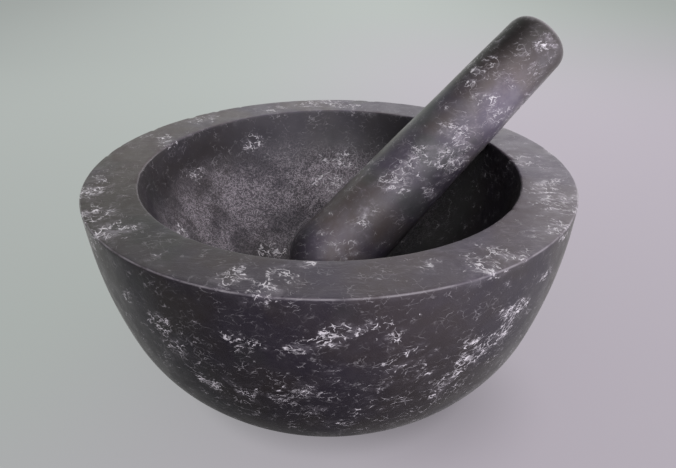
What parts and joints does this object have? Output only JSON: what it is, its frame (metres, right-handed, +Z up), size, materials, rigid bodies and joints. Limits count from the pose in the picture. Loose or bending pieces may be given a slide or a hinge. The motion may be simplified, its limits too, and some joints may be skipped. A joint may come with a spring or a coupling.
{
  "type": "stone mortar and pestle",
  "caption": "Legless round stone mortar with a broad flat rim and a deep hollow, with a loose tapered pestle leaning in it, for crushing and grinding food by hand.",
  "frame": {"origin": "centre of the mortar's flat foot, on the surface that the mortar stands on", "axes": "+Z up along the mortar's axis, out of the hollow; +X from the mortar's axis towards the side of the rim that the pestle leans over; +Y completes a right-handed frame, and Y = 0 is a plane of symmetry"},
  "size_m": [0.214, 0.2, 0.1522],
  "materials": {
    "mortar_stone": "satin",
    "pestle_stone": "satin"
  },
  "bodies": {
    "mortar_body": {"mortar": "mortar_stone"},
    "pestle_body": {"pestle": "pestle_stone"}
  },
  "joints": [
    {"name": "pestle_lift", "type": "slide", "parent": "mortar_body", "child": "pestle_body", "axis": [0, 0, 1], "range_m": [0, 0.085]}
  ]
}
